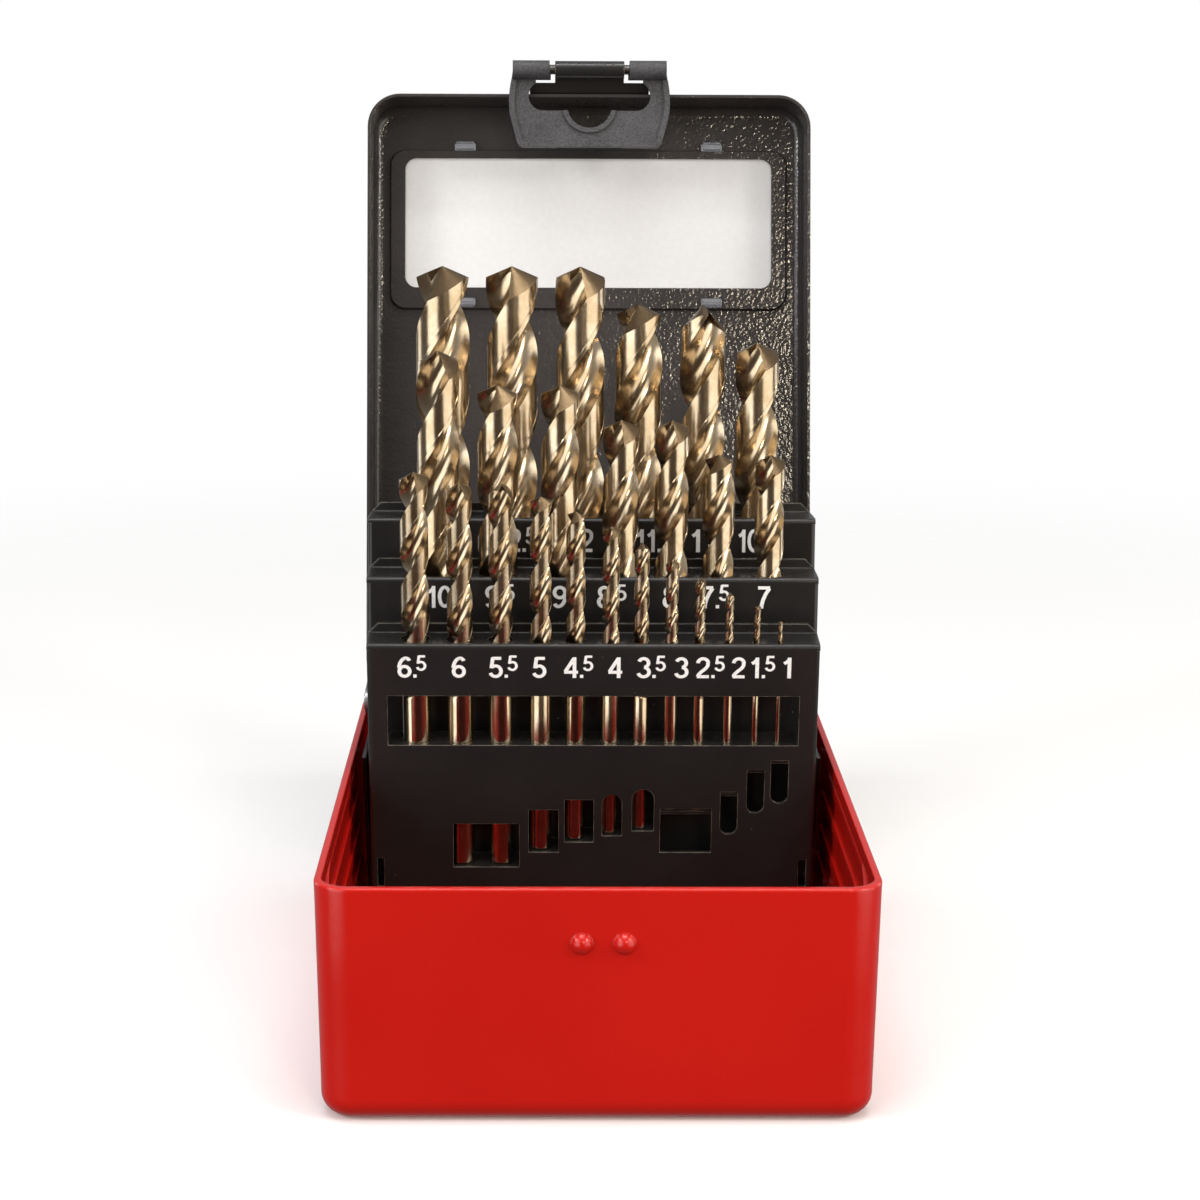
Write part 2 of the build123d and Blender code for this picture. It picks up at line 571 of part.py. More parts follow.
# ----------------------------------------------------------------------- racks
def rack(frame, drills, label, lug, windows=(), rounds=(), floors=(), shelf=None, notch=None, tab=None):
    h, dep, w, t = frame.h, frame.d, frame.w, SHEET
    pn, ps = frame.ns(PIVOT_Y, PIVOT_Z)
    holes = [(v[2], BIT_GAP + d / 2, d / 2 + HOLE_GAP) for d, v in drills.items()]
    with BuildPart() as body:
        # panel with its two side flanges, bent from one sheet
        with BuildSketch(frame.deck(1.0)):
            with BuildLine():
                FilletPolyline((-w + t / 2, dep), (-w + t / 2, t / 2), (w - t / 2, t / 2), (w - t / 2, dep), radius=0.6)
            trace(line_width=t)
        extrude(amount=h - 2.0)
        # bottom flange, panel, top plate and rear lip
        with BuildSketch(frame.flange(-w + 1.2)):
            with BuildLine():
                FilletPolyline((dep, t / 2), (t / 2, t / 2), (t / 2, h - t / 2), (dep - t / 2, h - t / 2),
                               (dep - t / 2, h + 2.25), radius=0.6)
            trace(line_width=t)
        extrude(amount=2 * (w - 1.2))
        with BuildSketch(frame.flange(-w)):
            with BuildLine():
                FilletPolyline((t / 2, h - 1.3), (t / 2, h - t / 2), (dep - t / 2, h - t / 2),
                               (dep - t / 2, h + 2.25), radius=0.6)
            trace(line_width=t)
        extrude(amount=2 * w)
        # slanted ends of the lip
        with BuildSketch(frame.panel(dep + 0.5)):
            for sx in (-1, 1):
                Polygon((sx * (w + 0.1), h + 0.2), (sx * (w + 0.1), h + 3), (sx * (w - 2.4), h + 3),
                        (sx * (w - 2.2), h + 2.25), (sx * (w - 0.2), h + 0.2), align=None)
        extrude(amount=1.8, mode=Mode.SUBTRACT)
        # clipped lower corners, clear of the tub's rounded hem
        if tab:
            with BuildSketch(frame.panel(-0.2)):
                for sx in (-1, 1):
                    Polygon((sx * (w + 0.2), -0.2), (sx * (w - 4.0), -0.2), (sx * (w + 0.2), 2.2), align=None)
            extrude(amount=-(dep + 0.6), mode=Mode.SUBTRACT)
        # lugs that reach the common axis
        for sx in (-1, 1):
            with BuildSketch(frame.flange(sx * (w - t))):
                if lug:
                    box2(3.0, pn, ps - 4.0, ps + 4.0)
                    with Locations((pn, ps)):
                        Circle(4.0)
                if tab:
                    box2(8.0, tab[0], tab[1] - 3.2, tab[1] + 3.2)
                    with Locations(tab):
                        Circle(3.2)
            if lug or tab:
                extrude(amount=sx * t)
            with BuildSketch(frame.flange(sx * (w - t - 1))):
                with Locations((pn, ps)):
                    Circle(RACK_BORE_D / 2)
                if tab:
                    with Locations(tab):
                        Circle(1.4)
            extrude(amount=sx * 3, mode=Mode.SUBTRACT)
        # guide shelf with its own holes
        if shelf:
            with BuildSketch(frame.deck(shelf[2] - t)):
                box2(shelf[0], shelf[1], 0.4, dep - 0.6)
            extrude(amount=t)
        # small floors
        for x0, x1, s in floors:
            with BuildSketch(frame.deck(s - t)):
                box2(x0 - 0.4, x1 + 0.4, 0.4, dep - 0.8)
            extrude(amount=t)
        # holes for the drills
        with BuildSketch(frame.deck(h - t - 0.2)):
            for x, n, r in holes:
                with Locations((x, n)):
                    Circle(r)
        extrude(amount=t + 0.4, mode=Mode.SUBTRACT)
        if shelf:
            with BuildSketch(frame.deck(shelf[2] - t - 0.2)):
                for x, n, r in holes:
                    with Locations((x, n)):
                        Circle(r)
            extrude(amount=t + 0.4, mode=Mode.SUBTRACT)
        # windows in the panel
        if windows:
            with BuildSketch(frame.panel(-0.2)):
                for x0, x1, s0, s1 in windows:
                    box2(x0, x1, s0, s1)
                for x0, x1, s0, s1, up in rounds:
                    rr = (x1 - x0) / 2
                    if up:
                        box2(x0, x1, s0, s1 - rr)
                        with Locations(((x0 + x1) / 2, s1 - rr)):
                            Circle(rr)
                    else:
                        box2(x0, x1, s0 + rr, s1)
                        with Locations(((x0 + x1) / 2, s0 + rr)):
                            Circle(rr)
            extrude(amount=-(t + 0.25), mode=Mode.SUBTRACT)
        # side notches where the inner racks' lugs pass
        if notch:
            for sx in (-1, 1):
                with BuildSketch(frame.panel(-0.2)):
                    box2(sx * notch[0], sx * notch[1], ps + notch[2], ps + notch[3])
                extrude(amount=-(t + 0.6), mode=Mode.SUBTRACT)
    save(body, label)
    return body


rack_front = rack(
    FRONT, DRILL_FRONT, "rack_front", lug=True,
    windows=((-47.4, 47.6, 37.3, 49.5), (-32.5, -17.1, 6.5, 17.5), (-14.9, -7.9, 10.3, 21.05),
             (-6.5, 0.3, 12.9, 23.6), (15.9, 27.9, 10.3, 21.3),
             (-50.4, -48.9, 1.5, 8.75), (48.6, 50.4, 1.4, 8.4)),
    rounds=((2.3, 6.9, 14.5, 24.9, True), (9.3, 14.4, 15.75, 26.3, True),
            (29.9, 33.9, 15.0, 25.7, False), (36.0, 40.05, 20.4, 31.2, False),
            (41.5, 45.6, 22.9, 33.5, False)),
    floors=((-32.5, -17.1, 6.5), (-14.9, -7.9, 10.3), (-6.5, 0.3, 12.9), (2.3, 6.9, 14.5), (9.3, 14.4, 15.75),
            (15.9, 27.9, 20.5), (29.9, 33.9, 25.1), (36.0, 40.05, 31.0), (41.5, 45.6, 33.3)),
    shelf=(-47.4, 47.6, 37.3))
rack_mid = rack(
    MID, DRILL_MID, "rack_mid", lug=True,
    shelf=(-47.4, 47.4, 46.0), notch=(50.9, 52.05, -7.5, 4.6))
rack_rear = rack(
    REAR, DRILL_REAR, "rack_rear", lug=False,
    shelf=(-47.4, 47.4, 50.0), notch=(50.9, 52.95, -7.5, 4.6), tab=LINK_B)

for frame, drills in ((FRONT, DRILL_FRONT), (MID, DRILL_MID), (REAR, DRILL_REAR)):
    for d, (length, flute, x, s0) in drills.items():
        drill(frame, d, length, flute, x, s0, "drill_" + ("%.1f" % d).replace(".", "_"))

print("link a", link_a, "b", link_b, "length", round(link_len, 3))
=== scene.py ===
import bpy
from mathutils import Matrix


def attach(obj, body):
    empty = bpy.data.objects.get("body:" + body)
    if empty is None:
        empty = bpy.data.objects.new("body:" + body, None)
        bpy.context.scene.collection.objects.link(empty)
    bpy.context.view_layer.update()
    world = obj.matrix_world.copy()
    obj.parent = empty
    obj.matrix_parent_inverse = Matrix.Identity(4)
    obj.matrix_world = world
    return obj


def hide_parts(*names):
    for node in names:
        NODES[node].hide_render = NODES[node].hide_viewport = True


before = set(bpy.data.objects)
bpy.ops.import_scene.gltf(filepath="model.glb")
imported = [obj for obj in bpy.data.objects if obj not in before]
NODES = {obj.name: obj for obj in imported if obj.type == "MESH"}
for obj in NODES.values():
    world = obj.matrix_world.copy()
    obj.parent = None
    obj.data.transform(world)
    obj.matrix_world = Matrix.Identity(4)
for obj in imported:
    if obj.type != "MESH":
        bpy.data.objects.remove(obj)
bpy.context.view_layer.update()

import math
import random

import bpy
import bmesh
from mathutils import Matrix, Vector

# ------------------------------------------------------------------ case frame
# Case millimetres: x across, y from the near rim to the hinge, z up.
YS = -103.8711


def W(x, y, z):
    return Vector((x / 1000, (y + YS) / 1000, z / 1000))


class Rack:
    def __init__(self, body, y0, z0, lean, height, depth, half):
        self.body, self.y0, self.z0 = body, y0, z0
        self.a = math.radians(lean)
        self.h, self.d, self.w = height, depth, half
        c, k = math.cos(self.a), math.sin(self.a)
        self.u = Vector((0, -k, c))
        self.n = Vector((0, c, k))

    def pt(self, x, n, s):
        return W(x, self.y0, self.z0) + (self.n * n + self.u * s) / 1000

    def basis(self):
        return Matrix((Vector((1, 0, 0)), self.n, self.u)).transposed()


FRONT = Rack("front_rack", 87.07, 20.64, 6.24, 62.0, 9.3, 52.0)
MID = Rack("mid_rack", 96.92, 13.26, 0.42, 81.3, 12.3, 52.9)
REAR = Rack("rear_rack", 109.16, 13.42, -3.94, 91.9, 15.3, 53.8)
HINGE = (158.4, 49.0)
OPEN = math.radians(102.6)
LID_TOP = 66.2


def lid_pt(x, y, z):
    a, b = y - HINGE[0], z - HINGE[1]
    c, s = math.cos(OPEN), math.sin(OPEN)
    return W(x, HINGE[0] + a * c + b * s, HINGE[1] - a * s + b * c)


# ------------------------------------------------------------- camera, studio
def make_camera():
    cam = bpy.data.objects.new("camera", bpy.data.cameras.new("camera"))
    bpy.context.collection.objects.link(cam)
    p, y, r = math.radians(12.446), math.radians(0.566), math.radians(0.243)
    f = Vector((math.sin(y) * math.cos(p), math.cos(y) * math.cos(p), -math.sin(p)))
    right = Vector((math.cos(y), -math.sin(y), 0))
    up = right.cross(f)
    r2 = right * math.cos(r) + up * math.sin(r)
    u2 = up * math.cos(r) - right * math.sin(r)
    m = Matrix((r2, u2, -f)).transposed().to_4x4()
    m.translation = W(-9.605, -498.101, 220.497)
    cam.matrix_world = m
    cam.data.lens = 78.0
    cam.data.sensor_width = 36.0
    cam.data.shift_x = 0.0194
    cam.data.clip_start, cam.data.clip_end = 0.02, 30
    bpy.context.scene.camera = cam


def area(name, az, dist, z, sx, sy, radiance, color=(1, 1, 1), aim=(0, 0, 0.1)):
    """A soft box; az is counted from the camera's side towards +X."""
    a = math.radians(az)
    loc = Vector((math.sin(a) * dist, -math.cos(a) * dist, z))
    d = bpy.data.lights.new(name, "AREA")
    d.shape, d.size, d.size_y = "RECTANGLE", sx, sy
    d.energy, d.color = radiance * math.pi * sx * sy, color
    o = bpy.data.objects.new(name, d)
    bpy.context.collection.objects.link(o)
    o.location = loc
    o.rotation_mode = "QUATERNION"
    o.rotation_quaternion = (Vector(aim) - loc).to_track_quat("-Z", "Y")
    return o


def studio():
    w = bpy.data.worlds.new("studio")
    bpy.context.scene.world = w
    w.use_nodes = True
    nt = w.node_tree
    nt.nodes.clear()
    out = nt.nodes.new("ShaderNodeOutputWorld")
    bg = nt.nodes.new("ShaderNodeBackground")
    tc = nt.nodes.new("ShaderNodeTexCoord")
    sep = nt.nodes.new("ShaderNodeSeparateXYZ")
    nt.links.new(tc.outputs["Generated"], sep.inputs[0])

    def ramp(src, stops):
        mp = nt.nodes.new("ShaderNodeMapRange")
        mp.inputs["From Min"].default_value = -1.0
        mp.inputs["From Max"].default_value = 1.0
        nt.links.new(src, mp.inputs["Value"])
        r = nt.nodes.new("ShaderNodeValToRGB")
        e = r.color_ramp.elements
        e[0].position, e[0].color = 0.0, (*stops[0][1], 1)
        e[1].position, e[1].color = 1.0, (*stops[-1][1], 1)
        for p, c in stops[1:-1]:
            x = e.new(p)
            x.color = (*c, 1)
        nt.links.new(mp.outputs[0], r.inputs[0])
        return r.outputs["Color"]
    back = ramp(sep.outputs["Y"], [(0, (0.075, 0.055, 0.040)), (0.35, (0.08, 0.065, 0.052)), (0.52, (0.13, 0.125, 0.12)),
                                   (0.75, (0.24, 0.24, 0.245)), (1, (0.27, 0.27, 0.28))])
    high = ramp(sep.outputs["Z"], [(0, (0.05, 0.048, 0.045)), (0.5, (0.0, 0.0, 0.0)), (0.66, (0.10, 0.10, 0.10)),
                                   (1, (0.55, 0.55, 0.55))])
    add = nt.nodes.new("ShaderNodeMix")
    add.data_type, add.blend_type = "RGBA", "ADD"
    add.inputs[0].default_value = 1.0
    nt.links.new(back, add.inputs[6])
    nt.links.new(high, add.inputs[7])
    nt.links.new(add.outputs[2], bg.inputs["Color"])
    bg.inputs["Strength"].default_value = 1.0
    bg2 = nt.nodes.new("ShaderNodeBackground")
    bg2.inputs["Color"].default_value = (1.0, 1.0, 1.0, 1)
    lp = nt.nodes.new("ShaderNodeLightPath")
    mix = nt.nodes.new("ShaderNodeMixShader")
    nt.links.new(lp.outputs["Is Camera Ray"], mix.inputs[0])
    nt.links.new(bg.outputs[0], mix.inputs[1])
    nt.links.new(bg2.outputs[0], mix.inputs[2])
    nt.links.new(mix.outputs[0], out.inputs["Surface"])

    area("soft_left", -44, 1.05, 0.20, 0.85, 1.05, 2.35)
    area("soft_right", 61, 1.05, 0.20, 1.2, 1.05, 2.0, (1.0, 0.96, 0.89))
    area("soft_top", 0, 0.42, 1.08, 0.8, 0.5, 2.1, aim=(0, 0, 0.1))
    area("glint_top", 0, 0.10, 1.02, 0.5, 0.05, 26, aim=(0, 0, 0.1))
    area("side_left", -118, 0.95, 0.15, 0.34, 0.6, 1.6)
    area("side_right", 118, 0.95, 0.15, 0.34, 0.6, 1.6)
    area("glint_right", 15, 1.05, 0.46, 0.08, 0.14, 42, (1.0, 0.86, 0.66))
    area("kicker_left", -62, 0.9, 0.62, 0.16, 0.22, 22)
    area("kicker_right", 57, 0.9, 0.6, 0.16, 0.22, 22, (1.0, 0.95, 0.86))

    fl = bpy.data.meshes.new("floor")
    s = 4.0
    fl.from_pydata([(-s, -s, 0), (s, -s, 0), (s, s, 0), (-s, s, 0)], [], [(0, 1, 2, 3)])
    fo = bpy.data.objects.new("floor", fl)
    bpy.context.collection.objects.link(fo)
    m = bpy.data.materials.new("floor")
    m.use_nodes = True
    nt = m.node_tree
    nt.nodes.clear()
    out = nt.nodes.new("ShaderNodeOutputMaterial")
    dif = nt.nodes.new("ShaderNodeBsdfDiffuse")
    dif.inputs["Color"].default_value = (0.95, 0.95, 0.95, 1)
    clear = nt.nodes.new("ShaderNodeBsdfTransparent")
    geo = nt.nodes.new("ShaderNodeTexCoord")
    ln = nt.nodes.new("ShaderNodeVectorMath")
    ln.operation = "LENGTH"
    nt.links.new(geo.outputs["Object"], ln.inputs[0])
    fade = nt.nodes.new("ShaderNodeMapRange")
    fade.interpolation_type = "SMOOTHSTEP"
    for k, v in (("From Min", 0.16), ("From Max", 0.75), ("To Min", 1.0), ("To Max", 0.0)):
        fade.inputs[k].default_value = v
    nt.links.new(ln.outputs["Value"], fade.inputs["Value"])
    lp = nt.nodes.new("ShaderNodeLightPath")
    mul = nt.nodes.new("ShaderNodeMath")
    mul.operation = "MULTIPLY"
    nt.links.new(fade.outputs[0], mul.inputs[0])
    nt.links.new(lp.outputs["Is Camera Ray"], mul.inputs[1])
    mix = nt.nodes.new("ShaderNodeMixShader")
    nt.links.new(mul.outputs[0], mix.inputs[0])
    nt.links.new(clear.outputs[0], mix.inputs[1])
    nt.links.new(dif.outputs[0], mix.inputs[2])
    nt.links.new(mix.outputs[0], out.inputs["Surface"])
    fl.materials.append(m)


# ------------------------------------------------------------------- materials
def principled(name, color, rough=0.5, metal=0.0, coat=0.0, coat_rough=0.03, spec=0.5):
    m = bpy.data.materials.new(name)
    m.use_nodes = True
    b = m.node_tree.nodes["Principled BSDF"]
    b.inputs["Base Color"].default_value = (*color, 1)
    b.inputs["Roughness"].default_value = rough
    b.inputs["Metallic"].default_value = metal
    b.inputs["Coat Weight"].default_value = coat
    b.inputs["Coat Roughness"].default_value = coat_rough
    b.inputs["Specular IOR Level"].default_value = spec
    return m


class N:
    """Small helper to wire nodes."""

    def __init__(self, mat):
        self.t = mat.node_tree
        self.b = self.t.nodes["Principled BSDF"]

    def new(self, kind, **kw):
        n = self.t.nodes.new(kind)
        for k, v in kw.items():
            setattr(n, k, v)
        return n

    def link(self, a, b):
        self.t.links.new(a, b)

    def coords(self, scale=(1, 1, 1)):
        tc = self.new("ShaderNodeTexCoord")
        mp = self.new("ShaderNodeMapping")
        mp.inputs["Scale"].default_value = scale
        self.link(tc.outputs["Object"], mp.inputs["Vector"])
        return mp.outputs[0]

    def noise(self, scale, detail=2.0, rough=0.5, vec=None, dist=0.0):
        n = self.new("ShaderNodeTexNoise")
        n.inputs["Scale"].default_value = scale
        n.inputs["Detail"].default_value = detail
        n.inputs["Roughness"].default_value = rough
        n.inputs["Distortion"].default_value = dist
        if vec is not None:
            self.link(vec, n.inputs["Vector"])
        return n.outputs["Fac"]

    def ramp(self, fac, stops):
        r = self.new("ShaderNodeValToRGB")
        e = r.color_ramp.elements
        e[0].position, e[0].color = stops[0][0], (*stops[0][1], 1)
        e[1].position, e[1].color = stops[-1][0], (*stops[-1][1], 1)
        for p, c in stops[1:-1]:
            x = e.new(p)
            x.color = (*c, 1)
        self.link(fac, r.inputs[0])
        return r.outputs["Color"]

    def map(self, fac, a, b, lo, hi, smooth=False):
        m = self.new("ShaderNodeMapRange")
        m.interpolation_type = "SMOOTHSTEP" if smooth else "LINEAR"
        for k, v in (("From Min", a), ("From Max", b), ("To Min", lo), ("To Max", hi)):
            m.inputs[k].default_value = v
        self.link(fac, m.inputs["Value"])
        return m.outputs[0]

    def mixc(self, fac, a, b):
        m = self.new("ShaderNodeMix", data_type="RGBA")
        for i, v in ((6, a), (7, b)):
            if isinstance(v, tuple):
                m.inputs[i].default_value = (*v, 1)
            else:
                self.link(v, m.inputs[i])
        if isinstance(fac, float):
            m.inputs[0].default_value = fac
        else:
            self.link(fac, m.inputs[0])
        return m.outputs[2]

    def math(self, op, a, b=None):
        m = self.new("ShaderNodeMath", operation=op)
        for i, v in ((0, a), (1, b)):
            if v is None:
                continue
            if isinstance(v, (int, float)):
                m.inputs[i].default_value = v
            else:
                self.link(v, m.inputs[i])
        return m.outputs[0]

    def bump(self, height, strength, distance, normal=None):
        b = self.new("ShaderNodeBump")
        b.inputs["Strength"].default_value = strength
        b.inputs["Distance"].default_value = distance
        self.link(height, b.inputs["Height"])
        if normal is not None:
            self.link(normal, b.inputs["Normal"])
        return b.outputs[0]

    def bevel(self, radius, samples=4):
        b = self.new("ShaderNodeBevel", samples=samples)
        b.inputs["Radius"].default_value = radius
        return b.outputs[0]


def mat_red():
    m = principled("red_enamel", (0.65, 0.0105, 0.0062), rough=0.24, spec=0.5)
    n = N(m)
    v = n.coords()
    big = n.noise(14, 3, 0.55, v)
    col = n.mixc(n.map(big, 0.3, 0.7, 0, 1), (0.52, 0.0088, 0.0052), (0.57, 0.0105, 0.0062))
    # painted shade: the base colour is darkened on the bottom and on the inner face of the near wall, where shade falls
    geo = n.new("ShaderNodeNewGeometry")
    face = n.new("ShaderNodeSeparateXYZ")
    n.link(geo.outputs["Normal"], face.inputs[0])
    at = n.new("ShaderNodeSeparateXYZ")
    n.link(geo.outputs["Position"], at.inputs[0])
    wall = n.math("MULTIPLY", n.map(face.outputs["Y"], 0.6, 0.95, 0, 1), n.map(at.outputs["Y"], -0.100, -0.101, 0, 1))
    base = n.math("MULTIPLY", n.map(face.outputs["Z"], 0.6, 0.95, 0, 1), n.map(at.outputs["Z"], 0.006, 0.004, 0, 1))
    painted_shade_mask = n.math("MINIMUM", n.math("ADD", wall, base), 1.0)
    # painted shade: a dark red on the floor and on the near wall's inner face
    n.link(n.mixc(painted_shade_mask, col, (0.15, 0.0035, 0.0025)), n.b.inputs["Base Color"])
    peel = n.noise(700, 2, 0.5, v)
    n.link(n.bump(peel, 0.5, 0.00004, n.bevel(0.0005)), n.b.inputs["Normal"])
    fine = n.noise(60, 3, 0.6, v)
    n.link(n.map(fine, 0.3, 0.7, 0.14, 0.22), n.b.inputs["Roughness"])
    return m


def black_paint(name, peel_scale, peel_height, r0, r1, base=(0.012, 0.0115, 0.0115), specks=0.6, bevel=0.0003, spec=0.5, painted_edge_highlight=0.0):
    m = principled(name, base, rough=r0, spec=spec)
    n = N(m)
    v = n.coords()
    big = n.noise(40, 4, 0.6, v)
    col = n.mixc(n.map(big, 0.3, 0.7, 0, 1), tuple(c * 0.85 for c in base), tuple(c * 1.15 for c in base))
    if specks:
        vo = n.new("ShaderNodeTexVoronoi")
        vo.inputs["Scale"].default_value = 420
        n.link(v, vo.inputs["Vector"])
        dot = n.map(vo.outputs["Distance"], 0.03, 0.06, 1, 0)
        pick = n.math("GREATER_THAN", n.noise(95, 1, 0.5, v), specks)
        col = n.mixc(n.math("MULTIPLY", dot, pick), col, (0.22, 0.21, 0.19))
    if painted_edge_highlight:
        # painted highlight: a lighter colour along folded and cut edges stands in for the glints of light on their
        # rounded bends
        geo = n.new("ShaderNodeNewGeometry")
        dot = n.new("ShaderNodeVectorMath", operation="DOT_PRODUCT")
        n.link(n.bevel(0.00022, 6), dot.inputs[0])
        n.link(geo.outputs["True Normal"], dot.inputs[1])
        edge = n.map(dot.outputs["Value"], 0.985, 0.90, 0, 1)
        patch = n.map(n.noise(260, 4, 0.7, v), 0.36, 0.60, 0.15, 1.0)
        # painted highlight: light gold-brown colour mixed in along the edges
        col = n.mixc(n.math("MULTIPLY", n.math("MULTIPLY", edge, patch), painted_edge_highlight), col, (0.42, 0.37, 0.28))
    n.link(col, n.b.inputs["Base Color"])
    peel = n.math("ADD", n.noise(peel_scale, 1.0, 0.4, v), n.math("MULTIPLY", n.noise(peel_scale * 0.3, 1, 0.4, v), 0.8))
    n.link(n.bump(peel, 1.0, peel_height, n.bevel(bevel)), n.b.inputs["Normal"])
    n.link(n.map(n.noise(130, 3, 0.6, v), 0.3, 0.7, r0, r1), n.b.inputs["Roughness"])
    return m


def mat_steel(name="zinc_steel", color=(0.5, 0.5, 0.5), rough=0.32):
    m = principled(name, color, rough=rough, metal=1.0)
    n = N(m)
    v = n.coords()
    n.link(n.mixc(n.map(n.noise(120, 4, 0.6, v), 0.3, 0.7, 0, 1), tuple(c * 0.75 for c in color), color), n.b.inputs["Base Color"])
    n.link(n.map(n.noise(300, 3, 0.6, v), 0.3, 0.7, rough * 0.8, rough * 1.3), n.b.inputs["Roughness"])
    n.link(n.bump(n.noise(900, 2, 0.5, v), 0.08, 0.0002, n.bevel(0.0001)), n.b.inputs["Normal"])
    return m


def mat_plastic():
    m = principled("grained_plastic", (0.055, 0.054, 0.058), rough=0.5)
    n = N(m)
    v = n.coords()
    g = n.noise(2300, 2, 0.7, v)
    tone = n.math("ADD", n.math("MULTIPLY", n.noise(90, 4, 0.6, v), 0.3), n.math("MULTIPLY", g, 0.7))
    n.link(n.mixc(n.map(tone, 0.38, 0.62, 0, 1), (0.022, 0.021, 0.0235), (0.075, 0.074, 0.082)), n.b.inputs["Base Color"])
    n.link(n.bump(g, 0.8, 0.0002, n.bevel(0.0003)), n.b.inputs["Normal"])
    n.link(n.map(n.noise(500, 2, 0.5, v), 0.3, 0.7, 0.42, 0.58), n.b.inputs["Roughness"])
    return m


def mat_gold(name="tempered_gold", k=1.0, r0=0.15, r1=0.27):
    m = principled(name, (0.47 * k, 0.345 * k, 0.20 * k), rough=0.2, metal=1.0)
    n = N(m)
    v = n.coords()
    tint = n.noise(170, 4, 0.6, v)
    c1 = n.mixc(n.map(tint, 0.3, 0.72, 0, 1, True), (0.45 * k, 0.345 * k, 0.215 * k), (0.57 * k, 0.47 * k, 0.34 * k))
    n.link(c1, n.b.inputs["Base Color"])
    lines = n.noise(1.0, 4, 0.65, n.coords((5200, 5200, 220)))
    n.link(n.map(lines, 0.25, 0.75, r0, r1), n.b.inputs["Roughness"])
    h = n.math("ADD", n.math("MULTIPLY", lines, 0.5), n.noise(1500, 3, 0.6, v))
    n.link(n.bump(h, 0.5, 0.00002), n.b.inputs["Normal"])
    return m


def mat_ground():
    """Freshly ground point: browner, with fine grinding lines."""
    m = principled("ground_point", (0.22, 0.15, 0.085), rough=0.34, metal=1.0)
    n = N(m)
    lines = n.noise(1.0, 3, 0.6, n.coords((5200, 5200, 500)))
    n.link(n.mixc(n.map(lines, 0.3, 0.7, 0, 1), (0.09, 0.056, 0.026), (0.25, 0.175, 0.10)), n.b.inputs["Base Color"])
    n.link(n.map(n.noise(900, 2, 0.5), 0.3, 0.7, 0.24, 0.42), n.b.inputs["Roughness"])
    n.link(n.bump(lines, 0.5, 0.00004), n.b.inputs["Normal"])
    return m


def mat_card():
    m = principled("plain_card", (0.78, 0.775, 0.78), rough=0.75)
    n = N(m)
    v = n.coords()
    n.link(n.mixc(n.map(n.noise(700, 3, 0.6, v), 0.3, 0.7, 0, 1), (0.69, 0.69, 0.70), (0.725, 0.725, 0.735)), n.b.inputs["Base Color"])
    n.link(n.bump(n.noise(2500, 2, 0.6, v), 0.2, 0.00008), n.b.inputs["Normal"])
    return m


def mat_clear():
    m = principled("clear_moulding", (0.62, 0.62, 0.66), rough=0.12)
    b = m.node_tree.nodes["Principled BSDF"]
    b.inputs["Transmission Weight"].default_value = 0.9
    b.inputs["IOR"].default_value = 1.49
    n = N(m)
    # clear plate outside the lid; the clips inside it get a greyer colour, painted shade on the same clear plastic
    foot = lid_pt(0, 30, LID_TOP - 0.2)
    out = (lid_pt(0, 30, LID_TOP + 10) - foot).normalized()
    dot = n.new("ShaderNodeVectorMath", operation="DOT_PRODUCT")
    n.link(n.coords(), dot.inputs[0])
    dot.inputs[1].default_value = out
    side = n.map(dot.outputs["Value"], foot.dot(out), foot.dot(out) + 0.0002, 0, 1)
    n.link(n.mixc(side, (0.66, 0.66, 0.70), (0.90, 0.91, 0.92)), n.b.inputs["Base Color"])
    n.link(n.bump(n.noise(60, 2, 0.5, n.coords()), 0.05, 0.0005), n.b.inputs["Normal"])
    return m


def mat_white():
    m = principled("white_ink", (0.8, 0.8, 0.8), rough=0.45)
    n = N(m)
    v = n.coords()
    n.link(n.mixc(n.map(n.noise(1800, 3, 0.7, v), 0.35, 0.6, 0, 1), (0.80, 0.80, 0.80), (0.96, 0.96, 0.96)), n.b.inputs["Base Color"])
    return m


def dress(node, mat):
    o = NODES[node]
    o.data.materials.clear()
    o.data.materials.append(mat)


make_camera()
studio()

RED = mat_red()
LID = black_paint("lid_enamel", 1250, 0.00009, 0.10, 0.16, base=(0.041, 0.037, 0.0365), specks=0.7)
RACKM = black_paint("rack_enamel", 900, 0.000015, 0.16, 0.24, base=(0.0175, 0.0165, 0.0165), bevel=0.0006, spec=0.4, painted_edge_highlight=0.75)
STEEL = mat_steel()
DARK_STEEL = mat_steel("dark_steel", (0.13, 0.125, 0.12), 0.35)
PLASTIC = mat_plastic()
GOLD = mat_gold()
GROUND = mat_ground()
CARD = mat_card()
CLEAR = mat_clear()
INK = mat_white()

for name in NODES:
    if name == "tub_shell":
        dress(name, RED)
    elif name == "lid_shell":
        dress(name, LID)
    elif name in ("rack_front", "rack_mid", "rack_rear", "side_bracket_left", "side_bracket_right", "latch_tongue"):
        dress(name, RACKM)
    elif name == "latch_flap":
        dress(name, PLASTIC)
    elif name == "label_card":
        dress(name, CARD)
    elif name == "window_cover":
        dress(name, CLEAR)
    elif name.startswith("drill_"):
        dress(name, GOLD)
    elif name == "latch_pin":
        dress(name, DARK_STEEL)
    else:
        dress(name, STEEL)


